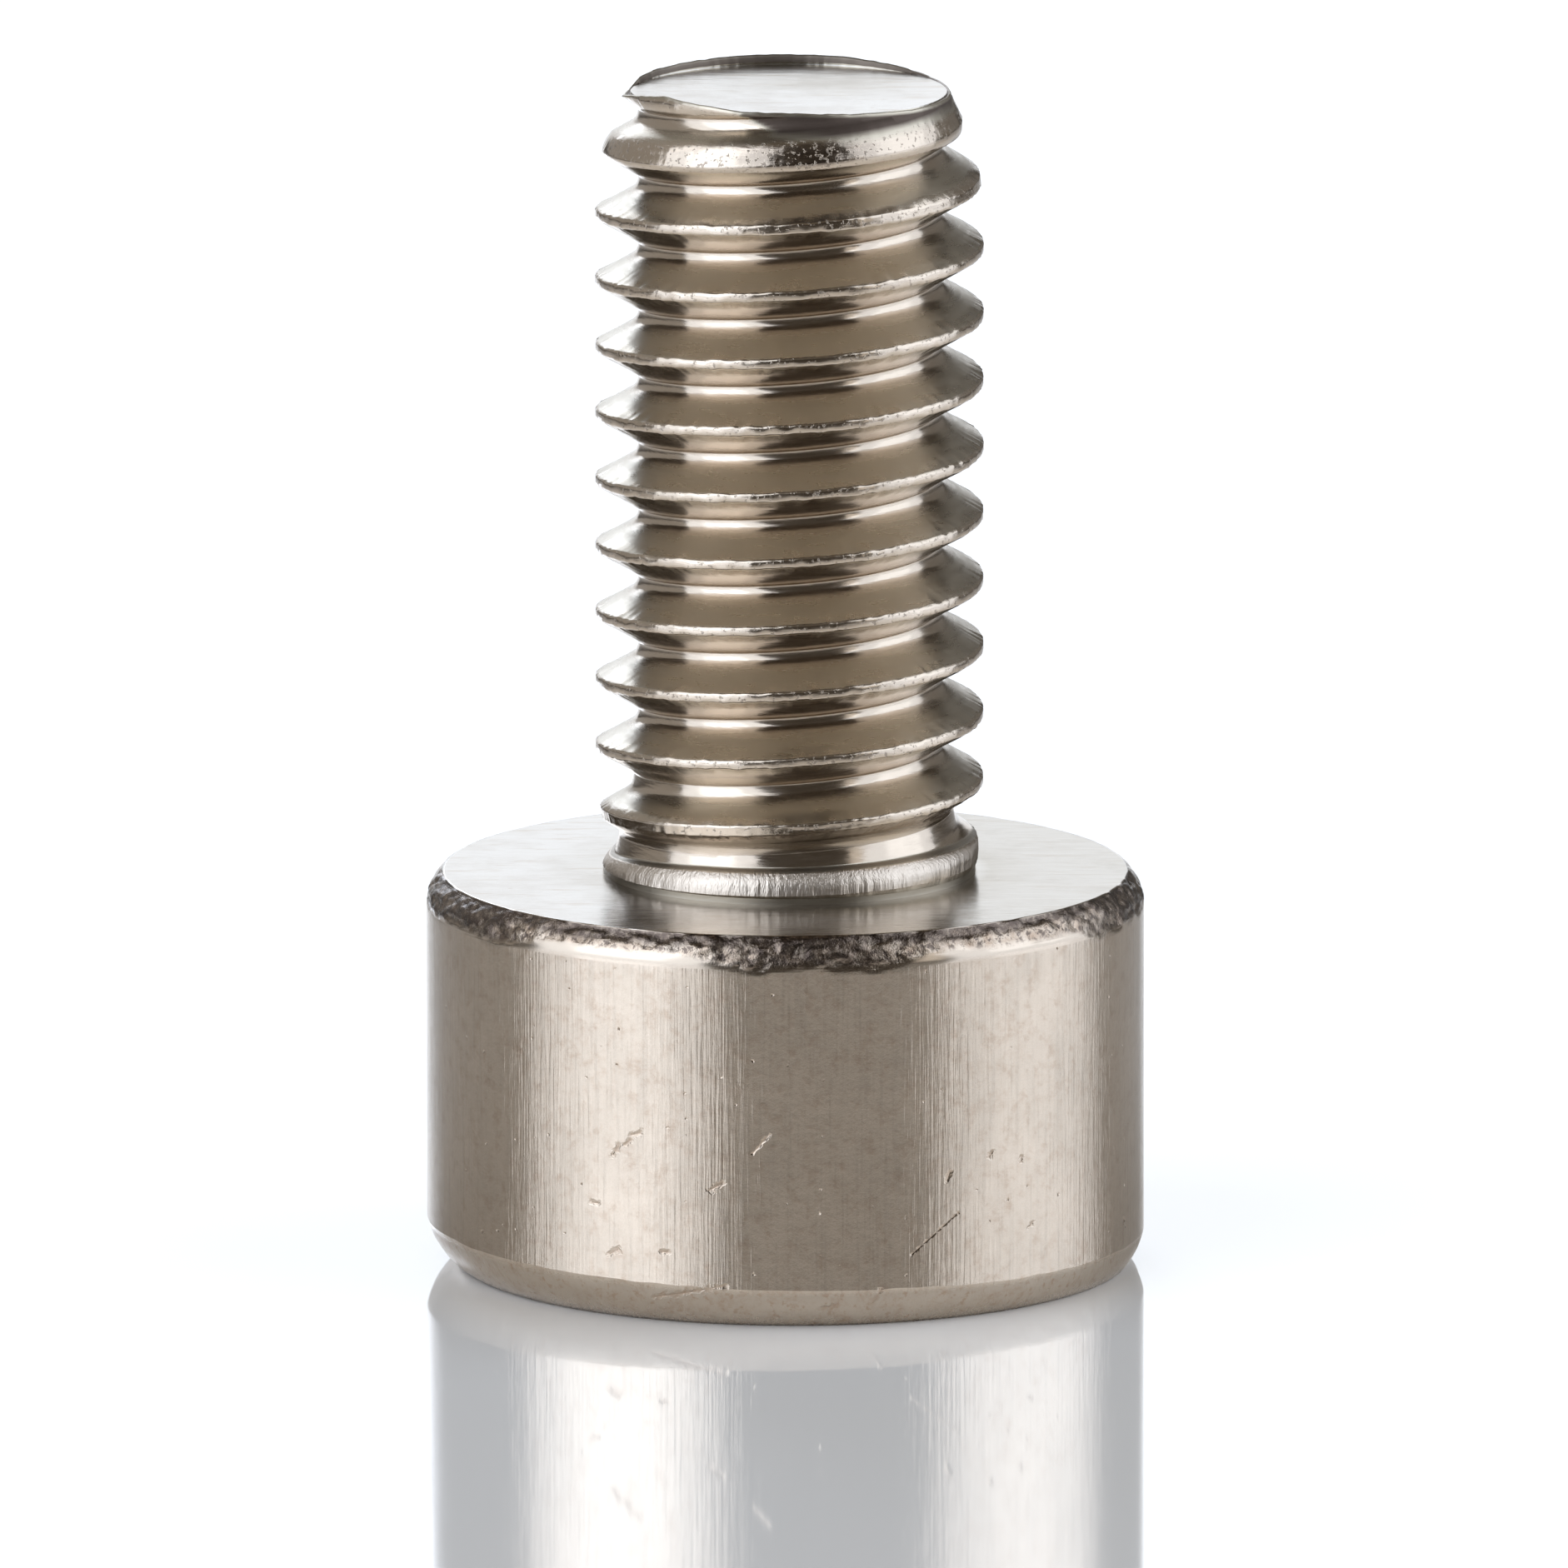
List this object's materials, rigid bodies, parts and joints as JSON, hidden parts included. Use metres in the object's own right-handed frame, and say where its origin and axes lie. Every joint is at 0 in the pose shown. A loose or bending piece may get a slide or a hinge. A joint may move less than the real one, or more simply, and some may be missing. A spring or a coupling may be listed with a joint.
{
  "type": "hexagon socket cheese head screw",
  "caption": "Short stainless socket cheese head screw: plain cylindrical head with rounded edges, fully threaded shank, tapered dished point.",
  "frame": {"origin": "centre of the head's end face, which the screw stands on", "axes": "+Z along the screw axis, from the head's end face towards the point of the thread; the hexagon socket opens along -Z with two of its flats across Y"},
  "size_m": [0.0054, 0.0054, 0.0088],
  "materials": {
    "stainless_steel": "drawn and rolled austenitic stainless steel, bright, with fine lengthwise draw lines on the head, small pits, and a torn, rough edge round the bearing face"
  },
  "bodies": {
    "root": {"screw": "stainless_steel"}
  },
  "joints": []
}
